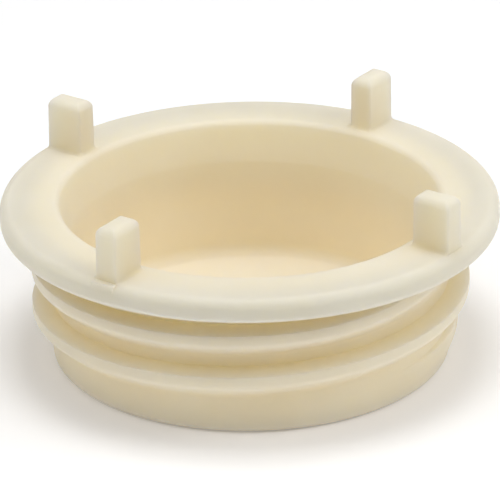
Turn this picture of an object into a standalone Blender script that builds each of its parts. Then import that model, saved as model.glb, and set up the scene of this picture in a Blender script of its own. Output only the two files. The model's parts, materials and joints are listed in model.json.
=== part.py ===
"""Flanged screw-in plug for a 60 mm pan connection: one moulded body and the sealing ring under its flange.

Metres, +Z up. The origin is on the screw axis in the plane of the closed base, so the plug stands on it.
Angles are measured anticlockwise from +X, seen from above.
"""
import math

import bmesh
import bpy
from mathutils import Matrix, Vector

MM = 0.001

# Thread: right hand, single start, sawtooth, with the square flank up towards the flange.
THREAD_RADIUS = 30.0 * MM
THREAD_DEPTH = 2.7 * MM
THREAD_PITCH = 6.0 * MM
THREAD_START_ANGLE = math.radians(-45.0)
THREAD_START_HEIGHT = 3.35 * MM
THREAD_NECK_GAP = 2.9 * MM
THREAD_RUN_IN = math.radians(105.0)
THREAD_RUN_OUT = math.radians(70.0)
SQUARE_FLANK_RISE = 0.3 * MM
SLOPING_FLANK_RISE = 2.1 * MM
VALLEY_WIDTH = 1.8 * MM
CREST_ROUND = 0.3 * MM
THREAD_ROOTING = 0.6 * MM

# Flange: the round rim that stops against the fitting, wider than the thread by its overhang.
FLANGE_OVERHANG = 4.0 * MM
FLANGE_THICKNESS = 3.3 * MM
FLANGE_TOP_FILLET = 1.4 * MM
FLANGE_BOTTOM_FILLET = 0.9 * MM

# Barrel: the closed cup that hangs below the flange and carries the thread.
BODY_HEIGHT = 22.3 * MM
BASE_FILLET = 0.7 * MM
NECK_FILLET = 0.6 * MM
WALL_THICKNESS = 2.7 * MM
FLOOR_THICKNESS = 2.7 * MM
WALL_DRAFT = 0.4 * MM
FLOOR_FILLET = 1.6 * MM

# Mouth: the wider, slightly conical lead-in at the top of the cup.
LEAD_IN_DEPTH = 5.7 * MM
LEAD_IN_WIDENING = 1.4 * MM
LEAD_IN_FILLET = 8.0 * MM
MOUTH_FILLET = 0.5 * MM

# Drive lugs: four ribs that stand on the flange and point at the axis.
LUG_COUNT = 4
LUG_FIRST_ANGLE = math.radians(55.0)
LUG_LENGTH = 5.7 * MM
LUG_THICKNESS = 3.4 * MM
LUG_HEIGHT = 7.4 * MM
LUG_RIM_INSET = 1.0 * MM
LUG_CORNER_RADIUS = 0.35 * MM
LUG_CORNER_STEPS = 2
LUG_CROWN_RADIUS = 1.2 * MM
LUG_CROWN_STEPS = 4
LUG_DRAFT = 0.05 * MM
LUG_ROOTING = 1.0 * MM

# Gate pad: the small flat on the rim where the plastic came in; the rim isn't rounded across it.
GATE_ANGLE = LUG_FIRST_ANGLE + math.pi
GATE_WIDTH = 3.5 * MM
GATE_HEIGHT = 2.7 * MM
GATE_INSET = 0.05 * MM

# Sealing ring: an elastomer ring kept in a groove in the flange's underside, just outside the thread.
GROOVE_DEPTH = 1.5 * MM
SEAL_WIDTH = 1.6 * MM
SEAL_THREAD_MARGIN = 0.5 * MM
SEAL_PROUD = 0.3 * MM
SEAL_CORNER_RADIUS = 0.25 * MM
FIT_GAP = 0.3 * MM

# What follows from the sizes above.
BARREL_RADIUS = THREAD_RADIUS - THREAD_DEPTH
FLANGE_RADIUS = THREAD_RADIUS + FLANGE_OVERHANG
UNDERSIDE_HEIGHT = BODY_HEIGHT - FLANGE_THICKNESS
THREAD_TURNS = (UNDERSIDE_HEIGHT - THREAD_NECK_GAP - THREAD_START_HEIGHT) / THREAD_PITCH
THREAD_END_ANGLE = THREAD_START_ANGLE + THREAD_TURNS * math.tau
CREST_WIDTH = THREAD_PITCH - SQUARE_FLANK_RISE - SLOPING_FLANK_RISE - VALLEY_WIDTH

TURN_STEPS = 72
THREAD_STEPS_PER_TURN = 48
ARC_STEPS = 3

IVORY = (0.80, 0.74, 0.58, 1.0)
SEAL_BLACK = (0.022, 0.022, 0.024, 1.0)


def clear_scene():
    for obj in list(bpy.data.objects):
        bpy.data.objects.remove(obj, do_unlink=True)


def make_material(name, colour, roughness):
    material = bpy.data.materials.new(name)
    material.use_nodes = True
    shader = material.node_tree.nodes["Principled BSDF"]
    shader.inputs["Base Color"].default_value = colour
    shader.inputs["Roughness"].default_value = roughness
    shader.inputs["Metallic"].default_value = 0.0
    return material


def make_object(name, bm, material=None):
    mesh = bpy.data.meshes.new(name)
    bm.to_mesh(mesh)
    bm.free()
    obj = bpy.data.objects.new(name, mesh)
    bpy.context.scene.collection.objects.link(obj)
    if material:
        mesh.materials.append(material)
    return obj


def rounded_outline(corners):
    """Turn corners (r, z, fillet) into outline points, each fillet an arc tangent to both of its sides."""
    points = []
    for index, (r, z, fillet) in enumerate(corners):
        corner = Vector((r, z))
        if fillet == 0.0:
            points.append(corner)
            continue
        before = corners[index - 1]
        after = corners[(index + 1) % len(corners)]
        back = (Vector(before[:2]) - corner).normalized()
        ahead = (Vector(after[:2]) - corner).normalized()
        half_angle = back.angle(ahead) / 2.0
        reach = fillet / math.tan(half_angle)
        centre = corner + (back + ahead).normalized() * fillet / math.sin(half_angle)
        first = corner + back * reach - centre
        last = corner + ahead * reach - centre
        sweep = first.angle_signed(last)
        for step in range(ARC_STEPS + 1):
            turn = Matrix.Rotation(-sweep * step / ARC_STEPS, 2)
            points.append(centre + turn @ first)
    return points


def turned(outline, closed):
    """Turn an outline of (r, z) points round the Z axis; an open outline starts and ends on the axis."""
    bm = bmesh.new()
    rings = []
    for point in outline:
        if point[0] < 1e-9:
            rings.append([bm.verts.new((0.0, 0.0, point[1]))])
            continue
        ring = []
        for step in range(TURN_STEPS):
            angle = math.tau * step / TURN_STEPS
            ring.append(bm.verts.new((point[0] * math.cos(angle), point[0] * math.sin(angle), point[1])))
        rings.append(ring)
    pairs = list(zip(rings, rings[1:]))
    if closed:
        pairs.append((rings[-1], rings[0]))
    for lower, upper in pairs:
        for step in range(TURN_STEPS):
            following = (step + 1) % TURN_STEPS
            if len(lower) == 1:
                bm.faces.new((lower[0], upper[following], upper[step]))
            elif len(upper) == 1:
                bm.faces.new((lower[step], lower[following], upper[0]))
            else:
                bm.faces.new((lower[step], lower[following], upper[following], upper[step]))
    bmesh.ops.recalc_face_normals(bm, faces=bm.faces)
    return bm


def seal_radii():
    inner = THREAD_RADIUS + SEAL_THREAD_MARGIN
    return inner, inner + SEAL_WIDTH


def groove_radii():
    inner, outer = seal_radii()
    return inner - FIT_GAP, outer + FIT_GAP


def solid_rim_width():
    """Width of the flange outside the groove that a fillet or the gate pad may take up."""
    return FLANGE_RADIUS - groove_radii()[1] - FIT_GAP


def body_outline():
    """Half section of the moulding without thread and lugs: up the outside, over the rim and down the cup."""
    groove_inner, groove_outer = groove_radii()
    groove_top = UNDERSIDE_HEIGHT + GROOVE_DEPTH
    bore_radius = BARREL_RADIUS - WALL_THICKNESS
    bottom_fillet = min(FLANGE_BOTTOM_FILLET, solid_rim_width())
    corners = [
        (0.0, 0.0, 0.0),
        (BARREL_RADIUS, 0.0, BASE_FILLET),
        (BARREL_RADIUS, UNDERSIDE_HEIGHT, NECK_FILLET),
        (groove_inner, UNDERSIDE_HEIGHT, 0.0),
        (groove_inner, groove_top, 0.0),
        (groove_outer, groove_top, 0.0),
        (groove_outer, UNDERSIDE_HEIGHT, 0.0),
        (FLANGE_RADIUS, UNDERSIDE_HEIGHT, bottom_fillet),
        (FLANGE_RADIUS, BODY_HEIGHT, FLANGE_TOP_FILLET),
        (bore_radius + LEAD_IN_WIDENING, BODY_HEIGHT, MOUTH_FILLET),
        (bore_radius, BODY_HEIGHT - LEAD_IN_DEPTH, LEAD_IN_FILLET),
        (bore_radius - WALL_DRAFT, FLOOR_THICKNESS, FLOOR_FILLET),
        (0.0, FLOOR_THICKNESS, 0.0),
    ]
    return rounded_outline(corners)


def thread_fade(angle):
    """Share of the full thread height at an angle: it grows from nothing and dies out again."""
    grown = (angle - THREAD_START_ANGLE) / THREAD_RUN_IN
    left = (THREAD_END_ANGLE - angle) / THREAD_RUN_OUT
    return max(0.0, min(1.0, grown, left))


def thread_section(fade):
    """Tooth section as (r, z) about the crest's middle; with no height left it lies inside the barrel wall."""
    foot = BARREL_RADIUS - THREAD_ROOTING
    crest = BARREL_RADIUS - THREAD_ROOTING / 2.0
    crest += fade * (THREAD_RADIUS - crest)
    shoulder = crest - CREST_ROUND
    if fade == 0.0:
        shoulder = (foot + crest) / 2.0
    half = CREST_WIDTH / 2.0
    return [
        (foot, -half - SLOPING_FLANK_RISE),
        (shoulder, -half),
        (crest, -half + CREST_ROUND),
        (crest, half - CREST_ROUND),
        (shoulder, half),
        (foot, half + SQUARE_FLANK_RISE),
    ]


def make_thread():
    bm = bmesh.new()
    steps = round(THREAD_TURNS * THREAD_STEPS_PER_TURN)
    sections = []
    for step in range(steps + 1):
        share = step / steps
        angle = THREAD_START_ANGLE + share * (THREAD_END_ANGLE - THREAD_START_ANGLE)
        height = THREAD_START_HEIGHT + share * THREAD_TURNS * THREAD_PITCH
        section = []
        for r, z in thread_section(thread_fade(angle)):
            section.append(bm.verts.new((r * math.cos(angle), r * math.sin(angle), height + z)))
        sections.append(section)
    for near, far in zip(sections, sections[1:]):
        for index in range(len(near)):
            following = (index + 1) % len(near)
            bm.faces.new((near[index], far[index], far[following], near[following]))
    bm.faces.new(sections[0])
    bm.faces.new(reversed(sections[-1]))
    bmesh.ops.recalc_face_normals(bm, faces=bm.faces)
    return make_object("thread_tool", bm)


def lug_length():
    """The rib's length, no longer than the flat ring of the flange that it stands on."""
    mouth_radius = BARREL_RADIUS - WALL_THICKNESS + LEAD_IN_WIDENING
    room = FLANGE_RADIUS - LUG_RIM_INSET - mouth_radius - 2.0 * MOUTH_FILLET
    return min(LUG_LENGTH, room)


def make_lug(angle):
    """One rib with rounded corners and a crowned top, its long side on the radius."""
    length = lug_length()
    bm = bmesh.new()
    outline = []
    for quarter, (side_x, side_y) in enumerate(((1, 1), (-1, 1), (-1, -1), (1, -1))):
        corner_x = side_x * (length / 2.0 - LUG_CORNER_RADIUS)
        corner_y = side_y * (LUG_THICKNESS / 2.0 - LUG_CORNER_RADIUS)
        for step in range(LUG_CORNER_STEPS + 1):
            turn = math.pi / 2.0 * (quarter + step / LUG_CORNER_STEPS)
            outline.append((corner_x + LUG_CORNER_RADIUS * math.cos(turn),
                            corner_y + LUG_CORNER_RADIUS * math.sin(turn)))
    sections = [(-LUG_ROOTING, 0.0)]
    for step in range(LUG_CROWN_STEPS + 1):
        turn = math.pi / 2.0 * step / LUG_CROWN_STEPS
        sections.append((LUG_HEIGHT - LUG_CROWN_RADIUS * (1.0 - math.sin(turn)),
                         LUG_DRAFT + LUG_CROWN_RADIUS * (1.0 - math.cos(turn))))
    rings = []
    for height, inset in sections:
        narrow_x = 1.0 - 2.0 * inset / length
        narrow_y = 1.0 - 2.0 * inset / LUG_THICKNESS
        rings.append([bm.verts.new((x * narrow_x, y * narrow_y, height)) for x, y in outline])
    for low, high in zip(rings, rings[1:]):
        for index in range(len(outline)):
            after = (index + 1) % len(outline)
            bm.faces.new((low[index], low[after], high[after], high[index]))
    bm.faces.new(reversed(rings[0]))
    bm.faces.new(rings[-1])
    bmesh.ops.recalc_face_normals(bm, faces=bm.faces)
    reach = FLANGE_RADIUS - LUG_RIM_INSET - length / 2.0
    place = Matrix.Rotation(angle, 4, "Z") @ Matrix.Translation((reach, 0.0, BODY_HEIGHT))
    bmesh.ops.transform(bm, matrix=place, verts=bm.verts)
    return make_object("lug_tool", bm)


def make_gate_pad():
    """A block that fills the rim's rounding at the gate; its outer face is flush with the rim's side."""
    bm = bmesh.new()
    depth = solid_rim_width()
    size = Matrix.Diagonal((depth, GATE_WIDTH, GATE_HEIGHT, 1.0))
    bmesh.ops.create_cube(bm, size=1.0, matrix=size)
    place = Matrix.Rotation(GATE_ANGLE, 4, "Z") @ Matrix.Translation(
        (FLANGE_RADIUS - GATE_INSET - depth / 2.0, 0.0, BODY_HEIGHT - GATE_INSET - GATE_HEIGHT / 2.0))
    bmesh.ops.transform(bm, matrix=place, verts=bm.verts)
    return make_object("gate_tool", bm)


def apply_boolean(target, tool, operation):
    """Join or cut with a tool shape, then keep the tool only as a hidden guide."""
    modifier = target.modifiers.new(tool.name, "BOOLEAN")
    modifier.operation = operation
    modifier.solver = "EXACT"
    modifier.object = tool
    tool.hide_render = True
    tool.display_type = "WIRE"
    tool.parent = target


def make_plug_body(material):
    body = make_object("plug_body", turned(body_outline(), closed=False), material)
    apply_boolean(body, make_thread(), "UNION")
    for index in range(LUG_COUNT):
        angle = LUG_FIRST_ANGLE + index * math.tau / LUG_COUNT
        apply_boolean(body, make_lug(angle), "UNION")
    apply_boolean(body, make_gate_pad(), "UNION")
    body.data.shade_smooth()
    body.data.set_sharp_from_angle(angle=math.radians(30.0))
    return body


def make_seal_ring(material):
    inner, outer = seal_radii()
    top = UNDERSIDE_HEIGHT + GROOVE_DEPTH - FIT_GAP
    bottom = UNDERSIDE_HEIGHT - SEAL_PROUD
    outline = rounded_outline([
        (inner, bottom, SEAL_CORNER_RADIUS),
        (outer, bottom, SEAL_CORNER_RADIUS),
        (outer, top, 0.0),
        (inner, top, 0.0),
    ])
    ring = make_object("seal_ring", turned(outline, closed=True), material)
    ring.data.shade_smooth()
    ring.data.set_sharp_from_angle(angle=math.radians(30.0))
    return ring


def main():
    clear_scene()
    ivory = make_material("natural_polypropylene", IVORY, 0.42)
    seal_black = make_material("seal_rubber", SEAL_BLACK, 0.65)
    body = make_plug_body(ivory)
    ring = make_seal_ring(seal_black)
    frame = bpy.data.objects.new("screw_axis", None)
    bpy.context.scene.collection.objects.link(frame)
    for obj in (body, ring):
        obj.parent = frame


main()
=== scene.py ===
# %% [markdown]
# # A flanged screw-in plug, modelled and finished step by step
# The object is one moulding of undyed plastic: a flat flange, a closed cup below it, a coarse sawtooth thread and four
# upright lugs to turn it by. Under the flange lies a black sealing ring in a groove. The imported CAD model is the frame:
# it gives the overall sizes and places, and this script gives the plug its fine surface, its material, the light and
# the camera.

# %% Load the frame
import json
import math

import bmesh
import bpy
import numpy as np
from mathutils import Matrix, Vector

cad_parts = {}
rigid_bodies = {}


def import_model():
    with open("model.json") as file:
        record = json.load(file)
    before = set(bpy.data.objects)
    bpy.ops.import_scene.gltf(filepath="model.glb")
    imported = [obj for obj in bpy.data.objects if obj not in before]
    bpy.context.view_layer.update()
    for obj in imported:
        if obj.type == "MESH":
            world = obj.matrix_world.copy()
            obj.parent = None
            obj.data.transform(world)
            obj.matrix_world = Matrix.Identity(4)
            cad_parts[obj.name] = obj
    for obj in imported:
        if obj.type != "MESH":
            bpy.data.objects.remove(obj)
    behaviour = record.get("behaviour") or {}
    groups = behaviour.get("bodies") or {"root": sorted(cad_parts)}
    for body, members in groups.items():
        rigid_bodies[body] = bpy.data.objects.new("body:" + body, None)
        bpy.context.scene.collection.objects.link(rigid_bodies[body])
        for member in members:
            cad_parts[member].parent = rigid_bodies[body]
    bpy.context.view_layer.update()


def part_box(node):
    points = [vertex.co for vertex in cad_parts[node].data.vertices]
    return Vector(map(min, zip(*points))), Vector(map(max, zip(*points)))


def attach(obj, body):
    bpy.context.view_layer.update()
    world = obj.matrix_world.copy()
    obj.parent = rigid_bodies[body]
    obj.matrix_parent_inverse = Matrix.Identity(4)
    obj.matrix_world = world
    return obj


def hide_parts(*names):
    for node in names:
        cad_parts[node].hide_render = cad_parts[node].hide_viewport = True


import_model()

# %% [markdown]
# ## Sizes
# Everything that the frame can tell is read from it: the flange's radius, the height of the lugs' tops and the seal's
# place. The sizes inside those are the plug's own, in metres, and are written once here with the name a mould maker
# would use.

MM = 0.001

plug_low, plug_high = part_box("plug_body")
seal_low, seal_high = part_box("seal_ring")

flange_radius = plug_high.x
lug_height = 7.4 * MM
flange_top = plug_high.z - lug_height
flange_thickness = 3.3 * MM
underside = flange_top - flange_thickness

barrel_radius = 27.3 * MM
thread_radius = 30.0 * MM
thread_pitch = 6.0 * MM
bore_radius = 24.6 * MM
mouth_radius = 26.0 * MM
lead_in_depth = 5.7 * MM
wall_draft = 0.4 * MM
floor_top = 2.7 * MM

print("flange", round(flange_radius / MM, 2), "mm radius; its top at", round(flange_top / MM, 2), "mm")

# %% [markdown]
# ## Small tools for edit mode
# An operator acts on all that is selected, so each step deselects first and then picks faces or edges by their place.
# `editing` opens an object in edit mode and closes it again, and `pick` selects by a rule.

# %% Selection helpers
from contextlib import contextmanager


def deselect_all():
    for obj in bpy.context.view_layer.objects:
        obj.select_set(False)


def activate(obj):
    deselect_all()
    obj.select_set(True)
    bpy.context.view_layer.objects.active = obj


@contextmanager
def editing(obj, mode="FACE"):
    activate(obj)
    bpy.ops.object.mode_set(mode="EDIT")
    bpy.ops.mesh.select_mode(type=mode)
    bpy.ops.mesh.select_all(action="DESELECT")
    yield
    bpy.ops.object.mode_set(mode="OBJECT")


def pick(kind, rule):
    """Select the faces, edges or verts of the mesh in edit mode for which the rule holds, and nothing else."""
    mesh = bpy.context.edit_object.data
    bm = bmesh.from_edit_mesh(mesh)
    bpy.ops.mesh.select_all(action="DESELECT")
    count = 0
    for part in getattr(bm, kind):
        if rule(part):
            part.select_set(True)
            count += 1
    bm.select_flush_mode()
    bmesh.update_edit_mesh(mesh)
    return count


def radius_of(point):
    return math.hypot(point.x, point.y)


def near(value, target, tolerance=0.02 * MM):
    return abs(value - target) < tolerance


def is_disc(face):
    """A level face with a whole circle of points: the base, the cup's floor, or the top before it is opened."""
    return abs(face.normal.z) > 0.9 and len(face.verts) > 8


def ring_edge(radius, height):
    """A rule for the edges of one circle round the axis."""
    def rule(edge):
        return all(near(radius_of(v.co), radius) and near(v.co.z, height) for v in edge.verts)
    return rule


def resize_about_axis(factor):
    bpy.ops.transform.resize(value=(factor, factor, 1.0), center_override=(0.0, 0.0, 0.0))


def push_out(move=(0.0, 0.0, 0.0)):
    bpy.ops.mesh.extrude_region_move(TRANSFORM_OT_translate={"value": move})


# %% [markdown]
# ## The moulding's body
# The real body is turned in shape: every section through the axis is the same until the thread and the lugs are added.
# A spun outline would give it in one go. Here it grows from a cylinder instead, one operator for each thing that the
# mould does: the flange is pushed out, the mouth and the cup are pushed in, and the ring groove is pushed up. That
# keeps each circle of points where a size says it is, so that later steps can find it again.

# %% Cylinder for the barrel
sides = 240
bpy.ops.mesh.primitive_cylinder_add(
    vertices=sides, radius=barrel_radius, depth=flange_top, location=(0.0, 0.0, flange_top / 2.0),
    end_fill_type="NGON")
plug = bpy.context.active_object
plug.name = "moulded_plug"
activate(plug)
bpy.ops.object.transform_apply(location=True, rotation=True, scale=True)
print("barrel blank:", len(plug.data.vertices), "points")

# %% Flange pushed out in three rings
# The two inner rings are the groove's walls, so that the groove has faces of its own to start from.
seal_gap = 0.3 * MM
seal_width = 1.6 * MM
groove_inner = seal_high.x - seal_width - seal_gap
groove_outer = seal_high.x + seal_gap
groove_top = seal_high.z + seal_gap

with editing(plug):
    bpy.ops.mesh.select_all(action="SELECT")
    bpy.ops.mesh.bisect(plane_co=(0.0, 0.0, underside), plane_no=(0.0, 0.0, 1.0))
    reached = barrel_radius
    for ring_radius in (groove_inner, groove_outer, flange_radius):
        pick("faces", lambda f: f.calc_center_median().z > underside and abs(f.normal.z) < 0.5)
        push_out()
        resize_about_axis(ring_radius / reached)
        reached = ring_radius
print("flange rings at", [round(r / MM, 2) for r in (groove_inner, groove_outer, flange_radius)], "mm")

# %% Groove, mouth and cup pushed in
with editing(plug):
    groove_middle = (groove_inner + groove_outer) / 2.0
    pick("faces", lambda f: f.normal.z < -0.9 and near(f.calc_center_median().z, underside)
         and near(radius_of(f.calc_center_median()), groove_middle, 0.5 * MM))
    push_out((0.0, 0.0, groove_top - underside))
    pick("faces", lambda f: is_disc(f) and f.normal.z > 0.0)
    bpy.ops.mesh.inset(thickness=barrel_radius - mouth_radius)
    push_out((0.0, 0.0, -lead_in_depth))
    resize_about_axis(bore_radius / mouth_radius)
    push_out((0.0, 0.0, floor_top - (flange_top - lead_in_depth)))
    resize_about_axis((bore_radius - wall_draft) / bore_radius)
print("cup is", round((flange_top - floor_top) / MM, 1), "mm deep")

# %% [markdown]
# ## Rounded edges
# A mould is cut with round tools and the plastic shrinks as it cools, so nothing on the plug has a knife edge. Each
# circle gets a bevel of its own radius. Just inside each bevel a narrow band is inset, so that the shading of a flat
# face stays flat right up to its rounding.

# %% Bevel each circle
with editing(plug, "EDGE"):
    roundings = [
        (flange_radius, flange_top, 1.4 * MM, 12),
        (flange_radius, underside, 0.9 * MM, 8),
        (mouth_radius, flange_top, 0.75 * MM, 8),
        (bore_radius, flange_top - lead_in_depth, 0.3 * MM, 4),
        (bore_radius - wall_draft, floor_top, 1.6 * MM, 10),
        (barrel_radius, 0.0, 0.7 * MM, 8),
        (barrel_radius, underside, 0.6 * MM, 6),
    ]
    for radius, height, rounding, segments in roundings:
        found = pick("edges", ring_edge(radius, height))
        bpy.ops.mesh.bevel(offset=rounding, segments=segments, profile=0.5, affect="EDGES")
        print("rounded", found, "edges at", round(radius / MM, 1), "mm")

# %% Bands that hold the flat faces flat
edge_band = 0.35 * MM
middle_band = 6.0 * MM
with editing(plug):
    for band_width in (edge_band, middle_band):
        pick("faces", is_disc)
        bpy.ops.mesh.inset(thickness=band_width, use_individual=True)

# %% [markdown]
# ## The thread
# The real thread is a sawtooth: its upper flank is almost square to the axis, because that flank carries the pull when
# the plug is tight, and its lower flank slopes away so that the mould can unscrew. It starts from nothing near the
# base, climbs two turns to the right and dies out under the flange. A swept ridge joined on with a Boolean leaves
# slivers along the joint. So the barrel wall is cut into fine rows instead, and each point moves out by the height
# that the thread has there: one unbroken skin, as the mould makes it.

# %% Fine rows on the barrel wall
thread_rows = 180
with editing(plug, "EDGE"):
    def upright_barrel_edge(edge):
        low, high = sorted((v.co for v in edge.verts), key=lambda co: co.z)
        return (near(radius_of(low), barrel_radius) and near(radius_of(high), barrel_radius)
                and high.z - low.z > underside / 2.0)
    found = pick("edges", upright_barrel_edge)
    bpy.ops.mesh.subdivide_edgering(number_cuts=thread_rows, interpolation="LINEAR")
print("cut", found, "upright edges into", thread_rows + 1, "rows")

# %% Height of the thread at a point of the wall
start_angle = math.radians(-45.0)
end_angle = math.radians(720.0)
run_in = math.radians(105.0)
run_out = math.radians(70.0)
start_height = 3.35 * MM
half_crest = 0.9 * MM
steep_flank = 0.3 * MM
sloping_flank = 2.1 * MM
flank_blend = 0.2
crest_blend = 0.25
root_blend = 0.2


def smooth_min(a, b, blend):
    """The smaller of two values, with the corner between them rounded off."""
    share = np.clip(0.5 + 0.5 * (b - a) / blend, 0.0, 1.0)
    return b * (1.0 - share) + a * share - blend * share * (1.0 - share)


def tooth(along):
    """Height of the sawtooth, 0 to 1, at a distance above the crest's middle."""
    upper = (half_crest + steep_flank - along) / steep_flank
    lower = (half_crest + sloping_flank + along) / sloping_flank
    raised = smooth_min(smooth_min(upper, lower, flank_blend), np.ones_like(along), crest_blend)
    return -smooth_min(-raised, np.zeros_like(along), root_blend)


def thread_rise(angle, height):
    rise = np.zeros_like(angle)
    for turn in range(-1, 3):
        wound = angle + turn * math.tau
        share = np.minimum((wound - start_angle) / run_in, (end_angle - wound) / run_out)
        fade = np.clip(share, 0.0, 1.0)
        crest = start_height + (wound - start_angle) / math.tau * thread_pitch
        rise = np.maximum(rise, fade * tooth(height - crest))
    return rise * (thread_radius - barrel_radius)


# %% Raise the thread
points = np.empty(len(plug.data.vertices) * 3)
plug.data.vertices.foreach_get("co", points)
points = points.reshape(-1, 3)
reach = np.hypot(points[:, 0], points[:, 1])
on_barrel = np.abs(reach - barrel_radius) < 0.01 * MM
wall_points = on_barrel & (points[:, 2] > 0.5 * MM) & (points[:, 2] < underside)
angles = np.arctan2(points[wall_points, 1], points[wall_points, 0])
rises = thread_rise(angles, points[wall_points, 2])
points[wall_points, :2] *= (1.0 + rises / barrel_radius)[:, None]
plug.data.vertices.foreach_set("co", points.ravel())
plug.data.update()
print("thread raised by up to", round(rises.max() / MM, 2), "mm on", int(wall_points.sum()), "points")

# %% [markdown]
# ## The drive lugs
# Four ribs point at the axis. A spanner bar laid across two of them turns the plug. Each is a block with slightly
# drafted sides, so that it leaves the mould, narrow corners and a crowned top, and it runs into the flange with a small
# fillet. A bevel as wide as the crown would close up round the narrow corners, so the crown and the fillet are made by
# extruding an end face in steps round a quarter circle. One lug is shaped from a cube, then copied and turned to its
# place. A Boolean union joins all four to the flange, because on the real plug they are one skin.

# %% One lug, shaped at the origin
lug_length = 5.7 * MM
lug_thickness = 3.4 * MM
lug_rim_inset = 1.0 * MM
lug_draft = 0.05 * MM
lug_corner = 0.35 * MM
lug_crown = 1.2 * MM
lug_fillet = 0.5 * MM
lug_root = 1.0 * MM

bpy.ops.mesh.primitive_cube_add(size=1.0, location=(0.0, 0.0, 0.0))
lug = bpy.context.active_object
lug.name = "lug_1"
with editing(lug):
    bpy.ops.mesh.select_all(action="SELECT")
    stem = lug_height - lug_crown - lug_fillet
    bpy.ops.transform.resize(value=(lug_length, lug_thickness, stem), center_override=(0.0, 0.0, 0.0))
    bpy.ops.transform.translate(value=(0.0, 0.0, flange_top + lug_fillet + stem / 2.0))
    pick("faces", lambda f: f.normal.z > 0.9)
    bpy.ops.transform.resize(
        value=(1.0 - 2.0 * lug_draft / lug_length, 1.0 - 2.0 * lug_draft / lug_thickness, 1.0),
        center_override=(0.0, 0.0, 0.0))
with editing(lug, "EDGE"):
    pick("edges", lambda e: abs(e.verts[0].co.z - e.verts[1].co.z) > MM)
    bpy.ops.mesh.bevel(offset=lug_corner, segments=6, profile=0.5, affect="EDGES")


# %% Crown its top and flare its foot, in steps round a quarter circle
def step_face(now, then, centre_x):
    """Extrude the selected end face from one (length, thickness, height) to the next."""
    push_out((0.0, 0.0, then[2] - now[2]))
    bpy.ops.transform.resize(
        value=(then[0] / now[0], then[1] / now[1], 1.0), center_override=(centre_x, 0.0, 0.0))


steps = 8
quarter_turns = [math.pi / 2.0 * step / steps for step in range(1, steps + 1)]
with editing(lug):
    pick("faces", lambda f: f.normal.z > 0.9)
    top_length = lug_length - 2.0 * lug_draft
    top_thickness = lug_thickness - 2.0 * lug_draft
    now = (top_length, top_thickness, lug_height - lug_crown)
    for turn in quarter_turns:
        inset = lug_crown * (1.0 - math.cos(turn))
        then = (top_length - 2.0 * inset, top_thickness - 2.0 * inset,
                lug_height - lug_crown * (1.0 - math.sin(turn)))
        step_face(now, then, 0.0)
        now = then
    pick("faces", lambda f: f.normal.z < -0.9)
    now = (lug_length, lug_thickness, lug_fillet)
    for turn in quarter_turns:
        flare = lug_fillet * (1.0 - math.cos(turn))
        then = (lug_length + flare, lug_thickness + 2.0 * flare, lug_fillet * (1.0 - math.sin(turn)))
        step_face(now, then, lug_length / 2.0)
        now = then
    push_out((0.0, 0.0, -lug_root))
print("lug has", len(lug.data.polygons), "faces")

# %% Four lugs in their places
lug_count = 4
first_lug_angle = math.radians(55.0)
lug_centre = flange_radius - lug_rim_inset - lug_length / 2.0
lugs = [lug]
for index in range(1, lug_count):
    copied = lug.copy()
    copied.data = lug.data.copy()
    copied.name = f"lug_{index + 1}"
    bpy.context.collection.objects.link(copied)
    lugs.append(copied)
for index, piece in enumerate(lugs):
    turn = first_lug_angle + index * math.tau / lug_count
    piece.data.transform(Matrix.Rotation(turn, 4, "Z") @ Matrix.Translation((lug_centre, 0.0, 0.0)))
deselect_all()
for piece in lugs:
    piece.select_set(True)
bpy.context.view_layer.objects.active = lugs[0]
bpy.ops.object.join()
lugs = lugs[0]
lugs.name = "lugs"


# %% Join the lugs to the flange
def join_on(target, tool):
    """Union the tool with the target, then merge the coincident points that the cut leaves along its edge."""
    activate(target)
    bpy.ops.object.modifier_add(type="BOOLEAN")
    modifier = target.modifiers[-1]
    modifier.operation = "UNION"
    modifier.solver = "EXACT"
    modifier.object = tool
    bpy.ops.object.modifier_apply(modifier=modifier.name)
    bpy.data.objects.remove(tool)
    with editing(target, "VERT"):
        bpy.ops.mesh.select_all(action="SELECT")
        bpy.ops.mesh.remove_doubles(threshold=0.001 * MM)
        bpy.ops.mesh.select_all(action="SELECT")
        bpy.ops.mesh.dissolve_degenerate(threshold=0.001 * MM)


join_on(plug, lugs)
print("moulding with lugs:", len(plug.data.polygons), "faces")

# %% [markdown]
# ## The gate pad
# The plastic entered the mould through a gate on the rim, in line with one lug. The mould has a small flat pad there,
# and the rim isn't rounded across it, so the pad's upper edge stays crisp after the stub is cut off. A block joined
# to the rim, flush with its side, fills the rounding.

# %% Fill the rim's rounding at the gate
gate_angle = first_lug_angle + math.pi
gate_width = 3.5 * MM
gate_height = 2.7 * MM
gate_sunk = 0.02 * MM
gate_inset = 0.05 * MM
gate_reach = 1.3 * MM
gate_edge = 0.12 * MM
bpy.ops.mesh.primitive_cube_add(size=1.0, location=(0.0, 0.0, 0.0))
gate_pad = bpy.context.active_object
with editing(gate_pad, "EDGE"):
    bpy.ops.mesh.select_all(action="SELECT")
    bpy.ops.transform.resize(value=(gate_reach, gate_width, gate_height), center_override=(0.0, 0.0, 0.0))
    pick("edges", lambda e: all(v.co.x > 0.0 for v in e.verts))
    bpy.ops.mesh.bevel(offset=gate_edge, segments=3, profile=0.5, affect="EDGES")
gate_centre = (flange_radius - gate_inset - gate_reach / 2.0, 0.0, flange_top - gate_sunk - gate_height / 2.0)
gate_pad.data.transform(Matrix.Rotation(gate_angle, 4, "Z") @ Matrix.Translation(gate_centre))
join_on(plug, gate_pad)

# %% Smooth shading
sharp_from = math.radians(35.0)
activate(plug)
bpy.ops.object.shade_smooth_by_angle(angle=sharp_from)
print("moulding:", len(plug.data.polygons), "faces")

# %% [markdown]
# ## The sealing ring
# A hard thread doesn't seal, so a rubber ring under the flange does. It is a plain ring with softened lower edges,
# made from a disc whose middle is pushed through.

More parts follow.
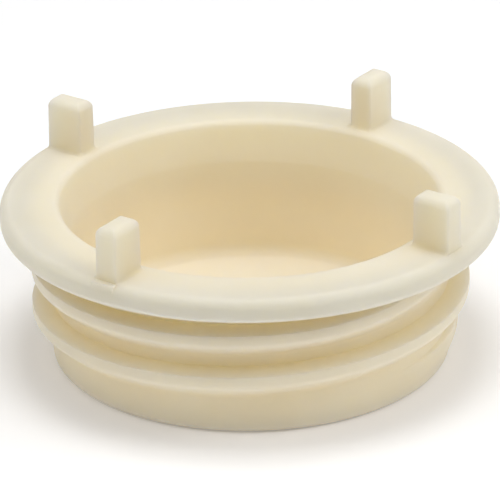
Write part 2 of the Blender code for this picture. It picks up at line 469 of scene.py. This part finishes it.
# %% Ring from a cylinder
seal_height = seal_high.z - seal_low.z
seal_corner = 0.25 * MM
bpy.ops.mesh.primitive_cylinder_add(
    vertices=sides, radius=seal_high.x, depth=seal_height,
    location=(0.0, 0.0, seal_low.z + seal_height / 2.0), end_fill_type="NGON")
seal = bpy.context.active_object
seal.name = "sealing_ring"
activate(seal)
bpy.ops.object.transform_apply(location=True, rotation=True, scale=True)
with editing(seal):
    pick("faces", lambda f: abs(f.normal.z) > 0.9)
    bpy.ops.mesh.inset(thickness=seal_width, use_individual=True)
    bpy.ops.mesh.bridge_edge_loops()
with editing(seal, "EDGE"):
    pick("edges", lambda e: all(near(v.co.z, seal_low.z) for v in e.verts)
         and near(radius_of(e.verts[0].co), radius_of(e.verts[1].co)))
    bpy.ops.mesh.bevel(offset=seal_corner, segments=5, profile=0.5, affect="EDGES")
activate(seal)
bpy.ops.object.shade_smooth_by_angle(angle=sharp_from)
print("seal:", len(seal.data.polygons), "faces")


# %% [markdown]
# ## Materials
# One function adds a node with its settings and links, and one turns a hex colour to linear light.

# %% Node and colour helpers
def linear(hex_colour):
    """An sRGB hex colour as linear RGBA."""
    channels = [int(hex_colour[i:i + 2], 16) / 255.0 for i in (1, 3, 5)]
    return [c / 12.92 if c <= 0.04045 else ((c + 0.055) / 1.055) ** 2.4 for c in channels] + [1.0]


def add_node(tree, kind, settings=None, inputs=None, links=None):
    """A node of one kind, with its own settings, its input values, and links as input name to output socket."""
    node = tree.nodes.new(kind)
    for name, value in (settings or {}).items():
        setattr(node, name, value)
    for name, value in (inputs or {}).items():
        node.inputs[name].default_value = value
    for name, socket in (links or {}).items():
        tree.links.new(socket, node.inputs[name])
    return node


def new_material(name):
    material = bpy.data.materials.new(name)
    material.use_nodes = True
    material.node_tree.nodes.clear()
    return material, material.node_tree


# %% [markdown]
# ### Natural moulded polypropylene
# Undyed polypropylene is milky: light goes a few millimetres into it and comes out warmer, which fills its shadows
# with amber and softens its edges. A surface colour alone would leave the thread's valleys grey, so most of the light
# is scattered below the surface, red a little further than blue. The surface copies a fine-eroded mould, so it has a
# satin gloss with a faint orange peel and shallow sinks. Colour clouds of a centimetre or so come from the way the melt
# filled the mould.

# %% Natural polypropylene
def natural_polypropylene():
    cloud_size = 14.0 * MM
    sink_size = 6.0 * MM
    # The real grain is about a tenth of a millimetre. It is drawn coarser, so that it shows at all.
    grain_size = 0.45 * MM
    material, tree = new_material("natural_polypropylene")
    place = add_node(tree, "ShaderNodeTexCoord").outputs["Object"]
    clouds = add_node(
        tree, "ShaderNodeTexNoise",
        inputs={"Scale": 1.0 / cloud_size, "Detail": 3.0, "Roughness": 0.55}, links={"Vector": place})
    tint = add_node(tree, "ShaderNodeMix", {"data_type": "RGBA"}, links={0: clouds.outputs["Fac"]})
    tint.inputs[6].default_value = linear("#F9EBD3")
    tint.inputs[7].default_value = linear("#F1E2C6")
    grain = add_node(
        tree, "ShaderNodeTexNoise",
        inputs={"Scale": 1.0 / grain_size, "Detail": 2.0, "Roughness": 0.5}, links={"Vector": place})
    sinks = add_node(
        tree, "ShaderNodeTexNoise",
        inputs={"Scale": 1.0 / sink_size, "Detail": 1.0, "Roughness": 0.4}, links={"Vector": place})
    fine_bump = add_node(
        tree, "ShaderNodeBump", inputs={"Strength": 0.20, "Distance": 0.04 * MM},
        links={"Height": grain.outputs["Fac"]})
    bump = add_node(
        tree, "ShaderNodeBump", inputs={"Strength": 0.25, "Distance": 0.12 * MM},
        links={"Height": sinks.outputs["Fac"], "Normal": fine_bump.outputs["Normal"]})
    gloss = add_node(
        tree, "ShaderNodeMapRange", inputs={"To Min": 0.46, "To Max": 0.60},
        links={"Value": grain.outputs["Fac"]})
    shader = add_node(
        tree, "ShaderNodeBsdfPrincipled",
        inputs={"IOR": 1.49, "Subsurface Weight": 0.8, "Subsurface Radius": (1.0, 0.95, 0.75),
                "Subsurface Scale": 7.5 * MM, "Specular IOR Level": 0.24},
        links={"Base Color": tint.outputs[2], "Roughness": gloss.outputs["Result"],
               "Normal": bump.outputs["Normal"]})
    add_node(tree, "ShaderNodeOutputMaterial", links={"Surface": shader.outputs["BSDF"]})
    return material


# %% [markdown]
# ### Seal rubber
# A compression-moulded nitrile ring: nearly black and matt, with a faint dusty bloom in patches of a few millimetres.

# %% Seal rubber
def seal_rubber():
    bloom_size = 2.0 * MM
    material, tree = new_material("nitrile_rubber")
    place = add_node(tree, "ShaderNodeTexCoord").outputs["Object"]
    bloom = add_node(
        tree, "ShaderNodeTexNoise",
        inputs={"Scale": 1.0 / bloom_size, "Detail": 4.0}, links={"Vector": place})
    tint = add_node(tree, "ShaderNodeMix", {"data_type": "RGBA"}, links={0: bloom.outputs["Fac"]})
    tint.inputs[6].default_value = linear("#1B1B1C")
    tint.inputs[7].default_value = linear("#2C2B2A")
    bump = add_node(
        tree, "ShaderNodeBump", inputs={"Strength": 0.2, "Distance": 0.03 * MM},
        links={"Height": bloom.outputs["Fac"]})
    shader = add_node(
        tree, "ShaderNodeBsdfPrincipled", inputs={"IOR": 1.52, "Roughness": 0.62},
        links={"Base Color": tint.outputs[2], "Normal": bump.outputs["Normal"]})
    add_node(tree, "ShaderNodeOutputMaterial", links={"Surface": shader.outputs["BSDF"]})
    return material


# %% Give each piece its material
plug.data.materials.clear()
plug.data.materials.append(natural_polypropylene())
seal.data.materials.clear()
seal.data.materials.append(seal_rubber())

# %% Tie the pieces to the frame
for piece, node, slot in ((plug, "plug_body", "natural_plastic"), (seal, "seal_ring", "seal_rubber")):
    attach(piece, "root")
    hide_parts(node)

# %% [markdown]
# ## Floor, light and camera
# The plug stands on white paper, which glows a little so that it stays white round the plug's soft shadow. A small
# bright softbox and a wide one hang overhead. A weaker one on each side, the right one the stronger, lights the barrel
# under the flange. A long lens looks down on the plug at 24 degrees, which keeps its circles true ellipses.

# %% Floor and world
floor_size = 3.0
floor_drop = 0.2 * MM
bpy.ops.mesh.primitive_plane_add(size=floor_size, location=(0.0, 0.0, -floor_drop))
floor = bpy.context.active_object
floor.name = "paper_floor"
activate(floor)
bpy.ops.object.transform_apply(location=True, rotation=True, scale=True)
paper, paper_tree = new_material("white_paper")
paper_shader = add_node(
    paper_tree, "ShaderNodeBsdfPrincipled",
    inputs={"Base Color": linear("#FBFBFB"), "Roughness": 0.9, "Specular IOR Level": 0.1,
            "Emission Color": linear("#FFFFFF"), "Emission Strength": 0.12})
add_node(paper_tree, "ShaderNodeOutputMaterial", links={"Surface": paper_shader.outputs["BSDF"]})
floor.data.materials.append(paper)

world = bpy.data.worlds.new("studio")
world.use_nodes = True
world.node_tree.nodes["Background"].inputs["Color"].default_value = linear("#FFFFFF")
world.node_tree.nodes["Background"].inputs["Strength"].default_value = 0.14
bpy.context.scene.world = world


# %% Lights
plug_middle = Vector((0.0, 0.0, 10.0 * MM))


def softbox(name, place, size, power, colour="#FFFFFF"):
    """A square area light that faces the plug."""
    data = bpy.data.lights.new(name, "AREA")
    data.shape = "SQUARE"
    data.size = size
    data.energy = power
    data.color = linear(colour)[:3]
    light = bpy.data.objects.new(name, data)
    light.location = place
    light.rotation_euler = (Vector(place) - plug_middle).to_track_quat("Z", "Y").to_euler()
    bpy.context.collection.objects.link(light)
    return light


softbox("overhead", (0.0, 0.0, 0.80), 0.30, 2.10)
softbox("ceiling", (0.0, 0.0, 0.60), 1.00, 2.20)
softbox("right_side", (0.50, -0.10, 0.40), 0.30, 0.96)
softbox("left_side", (-0.50, -0.10, 0.40), 0.30, 0.45)

# %% Camera
camera_elevation = math.radians(23.98)
camera_distance = 18.0 * flange_radius
camera_roll = math.radians(-0.79)
camera_lens = 324.03888
aim_below = 0.2190 * flange_radius
aim_left = 0.0011 * flange_radius
flange_centre = Vector((0.0, 0.0, flange_top))
offset = camera_distance * Vector((0.0, -math.cos(camera_elevation), math.sin(camera_elevation)))
camera_up = Vector((0.0, math.sin(camera_elevation), math.cos(camera_elevation)))
aim = flange_centre - camera_up * aim_below - Vector((aim_left, 0.0, 0.0))

camera_data = bpy.data.cameras.new("camera")
camera_data.sensor_width = 36.0
camera_data.lens = camera_lens
camera_data.clip_start = 0.01
camera_data.clip_end = 10.0
camera = bpy.data.objects.new("camera", camera_data)
bpy.context.collection.objects.link(camera)
camera.location = flange_centre + offset
look = (aim - camera.location).to_track_quat("-Z", "Y")
camera.rotation_euler = (look.to_matrix() @ Matrix.Rotation(camera_roll, 3, "Z")).to_euler()
bpy.context.scene.camera = camera
bpy.context.scene.view_settings.view_transform = "Standard"
